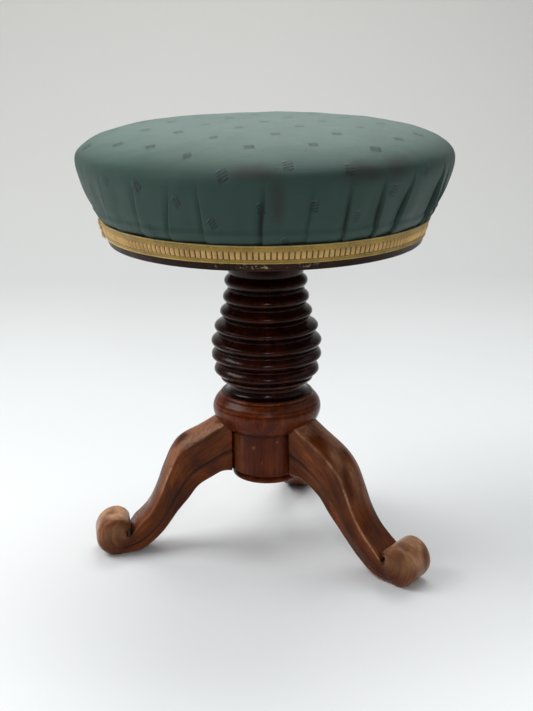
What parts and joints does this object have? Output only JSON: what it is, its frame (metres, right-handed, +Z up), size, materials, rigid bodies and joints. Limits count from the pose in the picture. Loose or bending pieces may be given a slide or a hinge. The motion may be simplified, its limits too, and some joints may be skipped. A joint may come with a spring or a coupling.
{
  "type": "revolving piano stool",
  "caption": "Round stuffed piano stool that turns up and down on a coarse screw, in a beehive-turned pedestal with scroll legs.",
  "frame": {"origin": "on the screw axis at floor level, under the middle of the seat", "axes": "+Z up along the screw axis, -Y towards the viewer of the picture, +X to the right"},
  "size_m": [0.378, 0.378, 0.456],
  "materials": {
    "base_wood": "french polished mahogany, worn",
    "column_wood": "dark polished mahogany",
    "leg_wood": "polished mahogany with worn edges",
    "rim_wood": "dark polished mahogany",
    "brass_screw": "tarnished brass",
    "iron": "greased dark iron",
    "steel": "dull steel",
    "washer_leather": "dry brown leather",
    "horsehair": "curled hair",
    "calico": "unbleached calico",
    "silk_damask": "teal silk with small woven motifs",
    "gimp": "gold gimp braid"
  },
  "bodies": {
    "pedestal": {"turned_base": "base_wood", "beehive_column": "column_wood", "base_cap": "base_wood", "base_cap_screws": "brass_screw", "left_leg": "leg_wood", "right_leg": "leg_wood", "back_leg": "leg_wood", "column_nut": "iron", "nut_screws": "steel"},
    "washer": {"leather_washer": "washer_leather"},
    "seat": {"seat_screw": "iron", "seat_flange": "iron", "flange_pin": "steel", "flange_screws": "steel", "stop_washer": "iron", "stop_bolt": "steel", "seat_board": "rim_wood", "horsehair_pad": "horsehair", "calico_cover": "calico", "seat_cover": "silk_damask", "gimp_braid": "gimp", "cover_tacks": "steel"}
  },
  "joints": [
    {"name": "seat_turn", "type": "hinge", "parent": "pedestal", "child": "washer", "pos_m": [0, 0, 0.33], "axis": [0, 0, 1], "range_deg": [0, 4320]},
    {"name": "seat_rise", "type": "slide", "parent": "washer", "child": "seat", "axis": [0, 0, 1], "range_m": [0, 0.096]}
  ],
  "couplings": [
    {"joint": "seat_rise", "follows": "seat_turn", "m_per_rad": 0.0012732}
  ]
}
